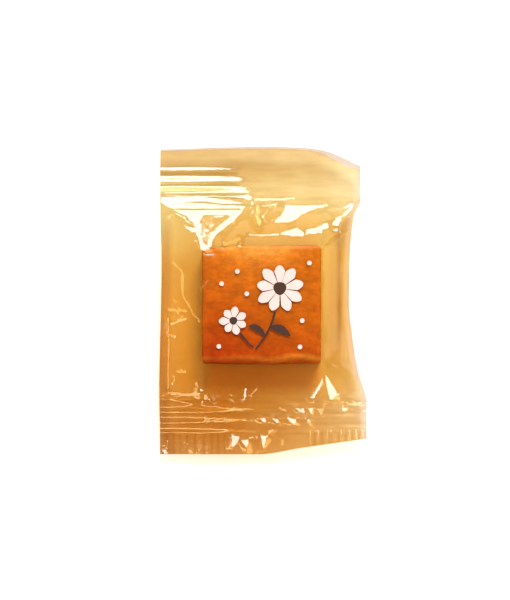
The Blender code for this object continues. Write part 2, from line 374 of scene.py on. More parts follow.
# Thin bright creases: the lamp that each one shows, its width, and its course.
FRONT_STREAKS = (
    ("window", 0.3, ((-15.6, 15.6), (-14.3, 14.9), (-13.2, 13.9))),
    ("window", 0.45, ((-1.4, 18.2), (2.2, 18.2), (5.4, 18.3))),
    ("window", 0.35, ((0.0, 17.0), (2.4, 17.4))),
    ("window", 0.38, ((-2.4, 11.8), (-0.2, 11.7), (3.4, 11.9))),
    ("west_panel", 0.9, ((-0.9, 16.8), (-1.0, 15.4), (-0.7, 13.9))),
    ("window", 0.25, ((7.6, 11.9), (10.6, 12.2))),
    ("window", 0.3, ((13.2, 12.9), (14.0, 12.2))),
    ("amber_card", 0.6, (
        (-16.2, 6.9), (-15.4, 6.1), (-14.5, 4.9), (-14.5, 2.5), (-14.4, 1.0), (-13.3, -0.8),
    )),
    ("amber_card", 0.6, ((-13.3, -0.8), (-12.4, -2.5), (-11.4, -3.7))),
    ("amber_card", 0.7, ((-16.9, -1.6), (-13.9, -1.9))),
    ("west_panel", 0.55, ((-16.5, -4.2), (-15.3, -3.8), (-13.9, -3.3))),
    ("amber_card", 0.42, ((-16.9, -6.1), (-15.7, -6.5))),
    ("amber_card", 0.42, ((-16.5, 0.7), (-15.6, -0.4))),
    ("amber_card", 0.42, ((-17.1, -3.3), (-17.0, -8.0), (-17.1, -15.8))),
    ("amber_card", 0.42, ((-11.2, 2.1), (-9.9, 3.6))),
    ("amber_card", 0.8, ((-6.8, 10.1), (-5.4, 10.5), (-4.3, 11.0))),
    ("west_panel", 0.65, ((-18.1, -16.8), (-17.2, -16.8), (-12.8, -17.0))),
    ("west_panel", 0.42, ((-11.9, -14.8), (-12.0, -16.4))),
    ("amber_card", 0.7, ((-15.3, -12.7), (-14.0, -12.8))),
    ("corner_lamp", 0.5, ((-3.1, -15.9), (-3.4, -17.9))),
    ("west_panel", 0.42, ((-1.0, -15.8), (-1.8, -16.6), (-2.6, -17.2))),
    ("amber_card", 0.42, ((-9.2, -16.8), (-8.7, -18.1))),
    ("west_panel", 0.42, ((10.6, -18.2), (14.8, -18.4), (18.3, -19.0))),
    ("west_panel", 0.42, ((-10.2, -21.3), (-10.1, -22.2))),
    ("west_panel", 0.42, ((-8.6, -21.5), (-8.6, -22.1))),
    ("west_panel", 0.42, ((-6.6, -21.4), (-6.6, -22.2))),
    ("west_panel", 0.42, ((-6.8, -24.9), (-6.8, -26.6))),
    ("amber_card", 0.42, ((-14.1, -26.2), (-12.6, -27.0))),
    ("amber_card", 0.42, ((-11.5, -25.3), (-11.6, -27.2))),
    ("amber_card", 0.42, ((-10.1, -26.2), (-10.2, -27.2))),
    ("west_panel", 0.42, ((-17.3, -25.1), (-17.4, -26.9))),
)

# The share of a lamp's breadth that a lit face uses.
LEEWAY_USED = 0.5

# The springs of the settling film: how firmly it keeps its own height where it is loose and where it is
# held (near the folded sides and over the caramel), and how firmly its loose part, a crease face and film
# turned away from the window (up or down) keep their slopes.
LOOSE_REST = 0.008
HELD_REST = 0.6
HELD_GAP = (0.5, 0.0)
HELD_SWELL = (0.93, 0.99)
LOOSE_SWELL = 0.97
GROUP_FIRMNESS = np.array([1.0, 150.0, 60.0, 60.0])
SETTLE_ROUNDS = 350
STRAY_ROUNDS = 3
STRAY_MARGIN = 1.6

# Bright upright flutes pressed into the margin at the lower right, by their places across. Their lower
# ends lie lower in the middle of the pack than at its right side.
FLUTES = (8.5, 10.0, 11.6, 12.2, 14.0, 15.6, 16.9, 18.0)
FLUTE_TOP = -23.4
FLUTE_ENDS = (-26.4, -25.2)
FLUTE_WIDTH = 0.42

# The darker stripes of painted shade between flutes, at the right and more faintly at the left.
STRIPE_PITCH = 1.35
STRIPE_WAVER = 0.9
STRIPE_WAVER_TURN = 0.8
LEFT_STRIPE_SHARE = 0.8

# The print: two daisies on one sprig, with a few dots. Petals and dots are cream, the rest is dark brown.
PRINT_LIFT = 0.03
POINT_WELD = 0.002
DAISIES = {
    "large_daisy": {"at": (3.0, 2.2), "petals": 9, "reach": 4.3, "eye": 1.15, "width": 2.1, "turn": 0.2},
    "small_daisy": {"at": (-5.3, -3.6), "petals": 7, "reach": 2.5, "eye": 0.7, "width": 1.5, "turn": 0.5},
}
STEMS = (
    ((2.1, -2.0), (1.4, -4.4), (0.2, -6.6), (-1.4, -8.8)),
    ((-4.1, -5.8), (-3.0, -7.2), (-1.7, -8.4)),
)
STEM_WIDTH = 0.42
STEM_TAPER = 0.35
LEAVES = (((1.2, -4.8), (4.9, -6.4), 1.5), ((0.4, -6.3), (-2.6, -4.6), 1.2))
LEAF_BOW = 0.5
LEAF_POINT = 0.8
DOTS = ((-7.4, 3.0), (-4.6, 5.2), (-2.9, 1.2), (7.0, -3.6), (6.6, -8.3), (-7.9, -8.2), (8.3, 6.7))
DOT_RADIUS = 0.42

# Petals: the share of their room that they fill, so that they don't overlap, where they start on the eye,
# how wide they are there, and how uneven they and the eye are.
PETAL_ROOM = 0.93
PETAL_START = 0.7
PETAL_BASE = 0.12
PETAL_UNEVENNESS = 0.05
PETAL_LEAN = 0.03
PETAL_PHASES = (2.7, 1.9)
EYE_UNEVENNESS = 0.05

INKS = {"cream_ink": (0.60, 0.47, 0.42, 1.0), "brown_ink": (0.050, 0.020, 0.012, 1.0)}

# Caramel colours from its lower edge to its upper edge: the height y, and the colour at the right. They hold
# painted light. The caramel is lighter towards its top as painted light, has a light line near its lower edge
# as a painted highlight on its rounded edge, and has its darkest band at the bottom as painted shade.
CARAMEL_TONES_AND_LIGHT = (
    (-11.6, (0.42, 0.080, 0.012)),
    (-10.9, (0.54, 0.135, 0.020)),
    (-10.2, (0.68, 0.280, 0.070)),
    (-9.5, (0.52, 0.108, 0.006)),
    (-4.0, (0.54, 0.148, 0.011)),
    (3.0, (0.58, 0.180, 0.016)),
    (6.5, (0.68, 0.245, 0.038)),
    (8.6, (0.79, 0.375, 0.075)),
    (9.8, (0.74, 0.315, 0.052)),
)
TONE_WANDER = 0.6
WANDER_SPREAD = (0.2, 0.8)

# Its upper part is duller at the sides, where it has the tones of a lower place, so the painted light at
# its top is strongest in the middle: how far from the middle that begins and is whole, how far down the
# tones come from, and above which height.
DULL_MIDDLE = -1.0
DULL_RUN = (3.5, 9.5)
DULL_DROP = 4.2
DULL_ABOVE = (1.0, 5.0)

# Its shade grows to the left and to the bottom, and is weaker along its left rim.
CARAMEL_SHADE = (0.76, 0.38, 0.50, 1.0)
SHADE_TO_LEFT = (6.0, -11.0)
SHADE_TO_BOTTOM = (3.0, -8.5)
SHADE_OFF_RIM = (-10.8, -9.2)
RIM_SHADE = 0.3

# Its mottles: blotches a metre, their strength, and how they are stretched. The last ones are its pull
# marks.
CARAMEL_MOTTLES = (
    (420.0, 0.14, (0.8, 1.1, 1.0)),
    (1300.0, 0.13, (0.9, 1.0, 1.0)),
    (1500.0, 0.05, (0.35, 1.5, 1.0)),
)

# The noise values between which a mottle goes from its darkest to its lightest.
MOTTLE_SPREAD = (0.3, 0.7)


def ease(value):
    """0 to 1 with level ends."""
    t = np.clip(value, 0.0, 1.0)
    return t * t * (3.0 - 2.0 * t)


def fade(value, none, full):
    """0 at one value and 1 at another, with level ends."""
    return ease((value - none) / (full - none))


def mix(a, b, share):
    return a + (b - a) * share


def along_stations(stations, place):
    """A straight-line reading of a list of (place, value)."""
    return np.interp(place, [s[0] for s in stations], [s[1] for s in stations])


def station_slopes(at, value):
    """Slopes that make a smooth curve through the stations, level where it turns back."""
    steps = np.diff(value) / np.diff(at)
    slopes = np.empty(len(at))
    slopes[0], slopes[-1] = steps[0], steps[-1]
    for i in range(1, len(at) - 1):
        before, after = steps[i - 1], steps[i]
        slopes[i] = 2.0 * before * after / (before + after) if before * after > 0.0 else 0.0
    return slopes


def outline(stations, place):
    """A smooth curve through the stations, read at many places."""
    at = np.array([s[0] for s in stations])
    value = np.array([s[1] for s in stations])
    slopes = station_slopes(at, value)
    place = np.clip(place, at[0], at[-1])
    index = np.clip(np.searchsorted(at, place, side="right") - 1, 0, len(at) - 2)
    run = at[index + 1] - at[index]
    t = (place - at[index]) / run
    return (
        (2 * t**3 - 3 * t**2 + 1) * value[index]
        + (t**3 - 2 * t**2 + t) * slopes[index] * run
        + (3 * t**2 - 2 * t**3) * value[index + 1]
        + (t**3 - t**2) * slopes[index + 1] * run
    )


def side_gaps(x, y):
    """Distances from the left and from the right folded side."""
    return x - outline(LEFT_SIDE, y), outline(RIGHT_SIDE, y) - x


def edge_shares(x, y):
    """How far a point lies from the caramel towards the side and towards the seal, 0 to 1 each."""
    half_width = CARAMEL_WIDTH / 2
    side = np.where(x > 0.0, outline(RIGHT_SIDE, y), -outline(LEFT_SIDE, y))
    towards_side = np.clip((np.abs(x) - half_width) / (side - half_width), 0.0, 1.0)
    above = (y - CARAMEL_TOP) / (TOP_SEAL_Y - CARAMEL_TOP)
    below = (LOWER_FALL_START - y) / (LOWER_FALL_START - BOTTOM_SEAL_Y)
    return towards_side, np.clip(np.maximum(above, below), 0.0, 1.0)


def swell(x, y):
    """Half the pack's thickness at a point, as a share: 1 over the caramel, 0 at the sides and seals."""
    towards_side, towards_seal = edge_shares(x, y)
    side_part = towards_side**CORNER_SHARPNESS
    seal_part = towards_seal**CORNER_SHARPNESS
    total = side_part + seal_part
    fall = np.clip(total ** (1.0 / CORNER_SHARPNESS), 0.0, 1.0)
    side_share = side_part / np.maximum(total, 1e-9)
    side_bluntness = np.where(x > 0.0, RIGHT_BLUNTNESS, LEFT_BLUNTNESS)
    return (1.0 - fall) ** mix(END_BLUNTNESS, side_bluntness, side_share)


def puff(x, y):
    """The slight air cushion between the caramel's upper face and the front film."""
    across = np.clip(1.0 - (2 * x / CARAMEL_WIDTH) ** 2, 0.0, 1.0)
    along = np.clip(1.0 - (2 * (y - CARAMEL_Y) / CARAMEL_LENGTH) ** 2, 0.0, 1.0)
    return FACE_PUFF * across * along


def loose_waves(x, y):
    """Slack in the film between the caramel and the sides and seals."""
    share = swell(x, y)
    free = 4.0 * share * (1.0 - share)
    waves = sum(np.sin(2 * np.pi * (across * x + along * y) + phase) for across, along, phase in LOOSE_WAVES)
    return LOOSE_HEIGHT * free * waves


def crimp(x, y):
    """The crimp ribs: their height, and where a point lies between a valley (-1) and a crest (1).

    In the top seal each crest lies nearer the seal's start, so the outer side of a rib is the longer.
    """
    into_seal = np.where(y > 0.0, y - TOP_SEAL_Y, BOTTOM_SEAL_Y - y)
    top_height = along_stations(TOP_RIB_HEIGHT, x) * along_stations(TOP_RIB_SHARE, into_seal)
    height = np.where(y > 0.0, top_height, along_stations(BOTTOM_RIB_HEIGHT, x))
    strength = ease(into_seal / RIB_FADE) * ease((RIB_COUNT * RIB_PITCH - into_seal) / RIB_FADE)
    place = np.mod(into_seal / RIB_PITCH + np.where(y > 0.0, 0.0, BOTTOM_RIB_SHIFT), 1.0)
    crest = np.where(y > 0.0, RIB_CREST, 0.5)
    turn = np.where(place < crest, 0.5 * place / crest, 0.5 + 0.5 * (place - crest) / (1.0 - crest))
    return height * strength, -np.cos(2 * np.pi * turn)


def rib(x, y):
    height, wave = crimp(x, y)
    return height * wave


def zone_share(name, x, y):
    """How much of a zone's fades there is at a point, 0 to 1."""
    left_gap, right_gap = side_gaps(x, y)
    places = {"x": x, "y": y, "left_gap": left_gap, "right_gap": right_gap}
    return math.prod(fade(places[place], none, full) for place, none, full in ZONE_FADES[name])


def crimp_valley_shade(x, y):
    """How deep in a valley between two ribs or two flutes a point lies, 0 to 1, which sets the painted shade
    there.
    """
    height, wave = crimp(x, y)
    between_ribs = ((1.0 - wave) / 2.0) ** 2 * fade(height, FAINT_RIB, FULL_RIB)
    fluted = zone_share("right_flutes", x, y) + LEFT_STRIPE_SHARE * zone_share("left_flutes", x, y)
    turn = 2 * np.pi * x / STRIPE_PITCH + STRIPE_WAVER * np.sin(STRIPE_WAVER_TURN * x)
    between_flutes = (0.5 + 0.5 * np.cos(turn)) ** 2
    return np.maximum(between_ribs, fluted * between_flutes)


def end_bend(x, y):
    """How far the thin ends rise or droop out of the middle plane."""
    past_top = ease((y - TOP_SEAL_Y) / BEND_RUN)
    past_bottom = ease((BOTTOM_SEAL_Y - y) / BEND_RUN)
    beyond = np.maximum(np.maximum(y - TOP_SEAL_Y, BOTTOM_SEAL_Y - y), 0.0)
    sag = END_TILT * beyond**2 / (beyond + END_HINGE)
    wave = FLUTTER * np.sin(2 * np.pi * x / FLUTTER_PITCH)
    fold_x, fold_y = CORNER_FOLD_START
    into_corner = (x - fold_x) * math.sin(CORNER_FOLD_ANGLE) + (y - fold_y) * math.cos(CORNER_FOLD_ANGLE)
    droop = CORNER_DROOP * np.clip(into_corner / CORNER_DROOP_RUN, 0.0, 1.0) ** 2
    twist = TWIST * x / HALF_WIDTH
    return past_top * (wave - droop) + past_bottom * (wave + twist) - sag


def middle_height(x, y):
    return MIDDLE_Z + end_bend(x, y) + rib(x, y)


def half_thickness(x, y):
    """Half the distance between the films: their own gap at the welds, and nothing at the folded sides."""
    nearest_side = np.minimum(*side_gaps(x, y))
    weld = FILM_GAP / 2 * ease(nearest_side / GAP_CLOSE)
    return weld + (HALF_HEIGHT + CAD_SEAL_HALF - FILM_GAP / 2) * swell(x, y)


def mirror_slopes(x, y, lamp):
    """The slopes that make the film show the camera the middle of a lamp at each point, and their leeway."""
    at, size, _, _ = LAMPS[lamp]
    towards = []
    for target in ((*CAMERA_AT, CAMERA_DISTANCE + VIEW_PLANE_Z), at):
        reach = np.stack([target[0] - x, target[1] - y, np.full(x.shape, target[2] - VIEW_PLANE_Z)])
        towards.append(reach / np.linalg.norm(reach, axis=0))
    half_x, half_y, half_z = towards[0] + towards[1]
    leeway = [breadth / math.hypot(*at) / 4 for breadth in size]
    return (-half_x / half_z, -half_y / half_z), leeway


def within(x, y, corners, reach, closed):
    """Whether points lie nearer than a reach to a course, or inside it if it is closed."""
    inside = np.zeros(x.shape, dtype=bool)
    nearest = np.full(x.shape, np.inf)
    ends = corners[1:] + corners[:1] if closed else corners[1:]
    for (ax, ay), (bx, by) in zip(corners, ends):
        run_x, run_y = bx - ax, by - ay
        if closed and run_y != 0.0:
            inside ^= ((ay > y) != (by > y)) & (x < ax + (y - ay) * run_x / run_y)
        share = np.clip(((x - ax) * run_x + (y - ay) * run_y) / (run_x**2 + run_y**2), 0.0, 1.0)
        nearest = np.minimum(nearest, np.hypot(x - ax - share * run_x, y - ay - share * run_y))
    return inside | (nearest < reach)


def flute_streaks():
    """Upright flutes in the margin of the bottom seal, as thin creases."""
    courses = [((x, FLUTE_TOP), (x, mix(*FLUTE_ENDS, x / HALF_WIDTH))) for x in FLUTES]
    return [("west_panel", FLUTE_WIDTH, course) for course in courses]


def film_slopes(x, y, z):
    """Slopes of a film across and along the pack, at each crossing of its grid."""
    (x_down, x_over), (y_down, y_over), (z_down, z_over) = np.gradient(x), np.gradient(y), np.gradient(z)
    area = x_over * y_down - x_down * y_over
    return (z_over * y_down - z_down * y_over) / area, (z_down * x_over - z_over * x_down) / area


def crease_slopes(x, y, slope_x, slope_y):
    """Where a crease holds the front film, and the slopes nearest to the film's own that show its lamp."""
    held = np.zeros(x.shape, dtype=bool)
    slope_x, slope_y = slope_x.copy(), slope_y.copy()
    shapes = [(lamp, corners, growth, True) for lamp, growth, faces in FRONT_FACES for corners in faces]
    streaks = (*FRONT_STREAKS, *flute_streaks())
    shapes += [(lamp, course, width / 2, False) for lamp, width, course in streaks]
    for lamp, corners, reach, closed in shapes:
        inside = within(x, y, corners, reach, closed)
        held |= inside
        middle, leeway = mirror_slopes(x[inside], y[inside], lamp)
        for slope, centre, spread in zip((slope_x, slope_y), middle, leeway):
            used = LEEWAY_USED * spread
            slope[inside] = np.clip(slope[inside], centre - used, centre + used)
    return held, slope_x, slope_y


def settle(x, y, z, group, slope_x, slope_y):
    """The film once some of it is held at given slopes and the rest is pulled along, like a net of springs.

    Each grid line between two points is a spring. It wants the film's own rise, or that of the given slopes
    where both its ends are in one held group. Conjugate gradients find the height at which all are at rest.
    """
    at_rim = fade(np.minimum(*side_gaps(x, y)), *HELD_GAP)
    on_caramel = fade(swell(x, y), *HELD_SWELL)
    rest = mix(LOOSE_REST, HELD_REST, np.maximum(at_rim, on_caramel))
    firm, pull = [], []
    for start, end in ((np.s_[:-1, :], np.s_[1:, :]), (np.s_[:, :-1], np.s_[:, 1:])):
        both = (group[start] == group[end]) & (group[start] > 0)
        wanted = (slope_x[start] + slope_x[end]) / 2 * (x[end] - x[start])
        wanted += (slope_y[start] + slope_y[end]) / 2 * (y[end] - y[start])
        firm.append(np.where(both, GROUP_FIRMNESS[group[start]], 1.0))
        pull.append(firm[-1] * np.where(both, wanted - (z[end] - z[start]), 0.0))

    def springs(forces):
        return -sum(np.diff(forces[axis], axis=axis, prepend=0.0, append=0.0) for axis in (0, 1))

    def stiffness(rise):
        return rest * rise + springs([firm[axis] * np.diff(rise, axis=axis) for axis in (0, 1)])

    rise = np.zeros(x.shape)
    weight = rest + 4.0 * GROUP_FIRMNESS[group]
    left = springs(pull)
    step = left / weight
    power = (left * step).sum()
    for _ in range(SETTLE_ROUNDS):
        answer = stiffness(step)
        length = power / (step * answer).sum()
        rise += length * step
        left -= length * answer
        eased = left / weight
        new_power = (left * eased).sum()
        step = eased + new_power / power * step
        power = new_power
    return z + rise


def stray_mirrors(x, y, z, held, own_y):
    """Where loose film shows the window without a crease, and slopes towards its own that don't show it."""
    slope_x, slope_y = film_slopes(x, y, z)
    (centre_x, centre_y), (spread_x, spread_y) = mirror_slopes(x, y, "window")
    reach_x, reach_y = STRAY_MARGIN * spread_x, STRAY_MARGIN * spread_y
    lit = (np.abs(slope_x - centre_x) < reach_x) & (np.abs(slope_y - centre_y) < reach_y)
    loose = (y < TOP_SEAL_Y) & (swell(x, y) < LOOSE_SWELL) & ~held
    steeper = own_y < centre_y
    dark = np.where(steeper, centre_y - reach_y, centre_y + reach_y)
    return lit & loose, steeper, slope_x, np.where(lit, dark, slope_y)


def smooth_front(x, y):
    """Height of the front film without its creases."""
    return middle_height(x, y) + half_thickness(x, y) + puff(x, y) + loose_waves(x, y)


def front_height(x, y):
    """Height of the front film: its creases are let in, and film that mirrors the window astray is turned."""
    z = smooth_front(x, y)
    own_x, own_y = film_slopes(x, y, z)
    held, slope_x, slope_y = crease_slopes(x, y, own_x, own_y)
    creased = settle(x, y, z, held.astype(int), slope_x, slope_y)
    for _ in range(STRAY_ROUNDS):
        stray, steeper, turned_x, turned_y = stray_mirrors(x, y, creased, held, own_y)
        group = np.where(held, 1, np.where(stray, np.where(steeper, 2, 3), 0))
        wanted_x, wanted_y = np.where(held, slope_x, turned_x), np.where(held, slope_y, turned_y)
        creased = settle(x, y, creased, group, wanted_x, wanted_y)
    return creased


def back_height(x, y):
    return middle_height(x, y) - half_thickness(x, y)


def plan_grid(cells, top_end):
    """Grid crossings on the pack's plan, as x and y arrays with a row for each step along."""
    across, along = cells
    level_bottom = BOTTOM_SEAL_Y - (RIB_COUNT - 1) * RIB_PITCH
    level_top = TOP_SEAL_Y + (RIB_COUNT - 1) * RIB_PITCH
    row = np.linspace(-HALF_LENGTH, HALF_LENGTH, along + 1)
    for edge in (CARAMEL_BOTTOM, CARAMEL_TOP, BOTTOM_SEAL_Y, TOP_SEAL_Y):
        row[np.argmin(np.abs(row - edge))] = edge
    level = np.clip(row, level_bottom, level_top)
    column = np.linspace(-1.0, 1.0, across + 1)
    left, right = outline(LEFT_SIDE, level)[:, None], outline(RIGHT_SIDE, level)[:, None]
    x = mix(left, right, (column[None, :] + 1.0) / 2.0)
    y = np.repeat(level[:, None], across + 1, axis=1)
    past_top = np.clip((row - level_top) / (HALF_LENGTH - level_top), 0.0, 1.0)[:, None]
    past_bottom = np.clip((level_bottom - row) / (HALF_LENGTH + level_bottom), 0.0, 1.0)[:, None]
    y = mix(y, outline(top_end, x), past_top)
    y = mix(y, outline(BOTTOM_END, x), past_bottom)
    return x, y


def new_piece(name, points, faces):
    """A smooth mesh piece from points in millimetres."""
    mesh = bpy.data.meshes.new(name)
    mesh.from_pydata((np.asarray(points) * MM).tolist(), [], faces)
    mesh.shade_smooth()
    piece = bpy.data.objects.new(name, mesh)
    bpy.context.scene.collection.objects.link(piece)
    return piece


def grid_faces(rows, columns, face_up=True):
    number = np.arange(rows * columns).reshape(rows, columns)
    corners = [number[:-1, :-1], number[:-1, 1:], number[1:, 1:], number[1:, :-1]]
    quads = np.stack(corners, axis=-1).reshape(-1, 4)
    return (quads if face_up else quads[:, ::-1]).tolist()


def film_sheet(name, x, y, z, face_up=True):
    """One film as a sheet, which carries its zones as attributes."""
    sheet = new_piece(name, np.stack([x, y, z], axis=-1).reshape(-1, 3), grid_faces(*x.shape, face_up))
    sheet.data.set_sharp_from_angle(angle=SHARP_CREASE)
    shares = {zone: zone_share(zone, x, y) for zone in ZONE_FADES}
    crease_width = mix(*RIGHT_CREASE_WIDTHS, shares["right_crease_widens"])
    shares["right_crease"] = shares["right_crease"] * np.exp(-(((x - RIGHT_CREASE_X) / crease_width) ** 2))
    shares["behind_fold"] = within(x, y, BEHIND_FOLD, BEHIND_FOLD_GROWTH, closed=True)
    folds = [strength * shares[fold] for fold, strength in FOLD_STRENGTHS.items()]
    # The glow below the caramel, the lit strip right of it and the crimp valleys are painted light and shade.
    zones = {
        "darker_fold": np.maximum.reduce(folds),
        "crimp_valley_shade": crimp_valley_shade(x, y),
        "pressed": np.maximum(shares["top_press"], shares["bottom_press"]),
        "milky_fold": shares["milky_fold"] * mix(*MILKY_FOLD_SHARES, shares["lower_milk"]),
        "painted_lit_channel": shares["painted_lit_channel"],
        "free_rim": fade(y - outline(BACK_TOP_END, x), *RIM_FADE),
        "painted_caramel_glow": shares["painted_caramel_glow"],
    }
    for zone, share in zones.items():
        values = sheet.data.attributes.new(zone, "FLOAT", "POINT").data
        values.foreach_set("value", share.ravel().astype(np.float32))
    return sheet


def build_film():
    x, y = plan_grid(FRONT_CELLS, TOP_END)
    front = film_sheet("front_film", x, y, front_height(x, y))
    x, y = plan_grid(BACK_CELLS, BACK_TOP_END)
    back = film_sheet("back_film", x, y, back_height(x, y), face_up=False)
    return front, back


def build_caramel():
    """The soft block: a cube with rounded edges, a slightly bulging top edge, pull marks and soft lumps."""
    bpy.ops.mesh.primitive_cube_add(size=2.0)
    block = bpy.context.object
    block.name = "caramel_block"
    cut = block.modifiers.new("cut", "SUBSURF")
    cut.subdivision_type = "SIMPLE"
    cut.levels = cut.render_levels = CARAMEL_CUTS
    bpy.ops.object.modifier_apply(modifier="cut")
    half_width = CARAMEL_WIDTH / 2 + CARAMEL_SPREAD
    half = Vector((half_width, CARAMEL_LENGTH / 2 - SKIN_INSET, CARAMEL_HEIGHT / 2 - SKIN_INSET))
    for point in block.data.vertices:
        place = Vector((point.co.x * half.x, point.co.y * half.y, point.co.z * half.z))
        core = Vector(max(-(half[i] - EDGE_RADIUS), min(half[i] - EDGE_RADIUS, place[i])) for i in range(3))
        outward = (place - core).normalized()
        place = core + outward * EDGE_RADIUS
        lower = float(ease((-place.y - half.y + LOWER_EDGE_RUN) / LOWER_EDGE_RUN))
        place.z -= LOWER_EDGE_DROP * lower**2 * max(point.co.z, 0.0)
        upper = float(fade(point.co.y, *TOP_EDGE_SHARES))
        place.y += TOP_EDGE_BULGE * upper * (1.0 - ((place.x - TOP_EDGE_MIDDLE) / TOP_EDGE_REACH) ** 2)
        lumps = noise.noise(place * LUMP_WAVES + Vector(LUMP_PLACE))
        marks = noise.noise(Vector(length * waves for length, waves in zip(place, PULL_MARK_WAVES)))
        push = LUMP_HEIGHT * lumps + PULL_MARK_DEPTH * marks
        place += outward * (push - SKIN_INSET)
        point.co = (place + Vector((CARAMEL_SHIFT, CARAMEL_Y, MIDDLE_Z))) * MM
    block.data.shade_smooth()
    return block


def on_film(plan, lift):
    """Points of a flat drawing, laid a little above the front film."""
    plan = np.asarray(plan)
    z = smooth_front(plan[:, 0], plan[:, 1]) + lift
    return np.column_stack([plan, z])


def disc(centre, radius_at, rings=6, spokes=48):
    """Points and faces of a filled round shape whose radius depends on the angle."""
    points, faces = [centre], []
    for ring in range(1, rings + 1):
        for spoke in range(spokes):
            angle = 2 * math.pi * spoke / spokes
            reach = radius_at(angle) * ring / rings
            points.append((centre[0] + reach * math.cos(angle), centre[1] + reach * math.sin(angle)))
    for spoke in range(spokes):
        after = (spoke + 1) % spokes
        faces.append((0, 1 + spoke, 1 + after))
        for ring in range(1, rings):
            inner, outer = 1 + (ring - 1) * spokes, 1 + ring * spokes
            faces.append((inner + spoke, outer + spoke, outer + after, inner + after))
    return points, faces


def ribbon(course, width_at, steps=24, lanes=4):
    """Points and faces of a band along a smooth course, whose width depends on the share of the way."""
    course = np.asarray(course, dtype=float)
    at = np.linspace(0.0, 1.0, len(course))
    share = np.linspace(0.0, 1.0, steps + 1)
    degree = min(3, len(course) - 1)
    x = np.polyval(np.polyfit(at, course[:, 0], degree), share)
    y = np.polyval(np.polyfit(at, course[:, 1], degree), share)
    run_x, run_y = np.gradient(x), np.gradient(y)
    length = np.hypot(run_x, run_y)
    points = []
    for lane in range(lanes + 1):
        offset = (lane / lanes - 0.5) * width_at(share)
        points += list(zip(x - run_y / length * offset, y + run_x / length * offset))
    return points, grid_faces(lanes + 1, steps + 1, face_up=False)


def ink_piece(name, points, faces):
    """A piece of the print, whose pointed ends are welded to single points."""
    piece = new_piece(name, points, faces)
    shape = bmesh.new()
    shape.from_mesh(piece.data)
    bmesh.ops.remove_doubles(shape, verts=shape.verts, dist=POINT_WELD * MM)
    shape.to_mesh(piece.data)
    shape.free()
    return piece


def petal_width(daisy, start, end, share):
    """The width of a petal at a share of its length: an oval, but no wider than its room."""
    oval = daisy["width"] * np.sqrt(np.clip(np.sin(np.pi * mix(PETAL_BASE, 1.0, share)), 0.0, 1.0))
    room = 2 * math.pi * mix(start, end, share) / daisy["petals"]
    return np.minimum(oval, PETAL_ROOM * room)


def eye_radius(daisy, angle):
    return daisy["eye"] * (1.0 + EYE_UNEVENNESS * math.sin(3 * angle))


def dot_radius(angle):
    return DOT_RADIUS


def stem_width(share):
    return STEM_WIDTH * (1.0 - STEM_TAPER * share)


def leaf_width(width, share):
    return width * np.clip(np.sin(np.pi * share), 0.0, 1.0) ** LEAF_POINT


def petal_ring(daisy):
    """The petals of a daisy, each an oval that starts at its eye."""
    points, faces = [], []
    centre_x, centre_y = daisy["at"]
    reach_phase, lean_phase = PETAL_PHASES
    for i in range(daisy["petals"]):
        angle = daisy["turn"] + 2 * math.pi * i / daisy["petals"]
        start = daisy["eye"] * PETAL_START
        end = daisy["reach"] * (1.0 + PETAL_UNEVENNESS * math.sin(reach_phase * i))
        lean = angle + PETAL_LEAN * math.sin(lean_phase * i)
        reaches = (start, mix(start, end, 0.5), end)
        course = [(centre_x + r * math.cos(lean), centre_y + r * math.sin(angle)) for r in reaches]
        width_at = partial(petal_width, daisy, start, end)
        petal_points, petal_faces = ribbon(course, width_at, steps=20, lanes=6)
        faces += [[corner + len(points) for corner in face] for face in petal_faces]
        points += petal_points
    return points, faces


def leaf(start, end, width):
    """A leaf from its stem to its tip, bowed a little."""
    middle = (mix(start[0], end[0], 0.5), mix(start[1], end[1], 0.5) + LEAF_BOW)
    return ribbon((start, middle, end), partial(leaf_width, width))


def build_print():
    """The print as thin pieces of ink that follow the front film, with the colour of each."""
    drawings = []
    for name, daisy in DAISIES.items():
        eye = disc(daisy["at"], partial(eye_radius, daisy))
        drawings.append((name + "_petals", petal_ring(daisy), PRINT_LIFT, "cream_ink"))
        drawings.append((name + "_eye", eye, 2 * PRINT_LIFT, "brown_ink"))
    for i, course in enumerate(STEMS):
        drawings.append((f"stem_{i + 1}", ribbon(course, stem_width), PRINT_LIFT, "brown_ink"))
    for i, values in enumerate(LEAVES):
        drawings.append((f"leaf_{i + 1}", leaf(*values), PRINT_LIFT, "brown_ink"))
    for i, centre in enumerate(DOTS):
        dot = disc(centre, dot_radius, rings=2, spokes=20)
        drawings.append((f"dot_{i + 1}", dot, PRINT_LIFT, "cream_ink"))
    return [(ink_piece(name, on_film(plan, lift), faces), ink) for name, (plan, faces), lift, ink in drawings]


def put(tree, kind, inputs=None, **settings):
    """A node with its settings, and with its inputs set or linked."""
    node = tree.nodes.new(kind)
    for name, value in settings.items():
        setattr(node, name, value)
    for name, value in (inputs or {}).items():
        if isinstance(value, bpy.types.NodeSocket):
            tree.links.new(value, node.inputs[name])
        else:
            node.inputs[name].default_value = value
    return node


def blend(tree, share, first, second, mode="MIX"):
    """The colour between two colours, or the first one multiplied by the second as far as the share says."""
    names = {0: share, 6: first, 7: second}
    return put(tree, "ShaderNodeMix", names, data_type="RGBA", blend_type=mode).outputs[2]


def zone(tree, name):
    return put(tree, "ShaderNodeAttribute", attribute_name=name).outputs["Fac"]


def scaled(tree, value, low, high, to_low=0.0, to_high=1.0):
    inputs = {"Value": value, "From Min": low, "From Max": high, "To Min": to_low, "To Max": to_high}
    return put(tree, "ShaderNodeMapRange", inputs).outputs["Result"]


def placed(tree, value, places, to_low=0.0, to_high=1.0):
    """A coordinate read between two places in millimetres."""
    return scaled(tree, value, places[0] * MM, places[1] * MM, to_low, to_high)


def calculate(tree, operation, first, second):
    return put(tree, "ShaderNodeMath", {0: first, 1: second}, operation=operation).outputs["Value"]


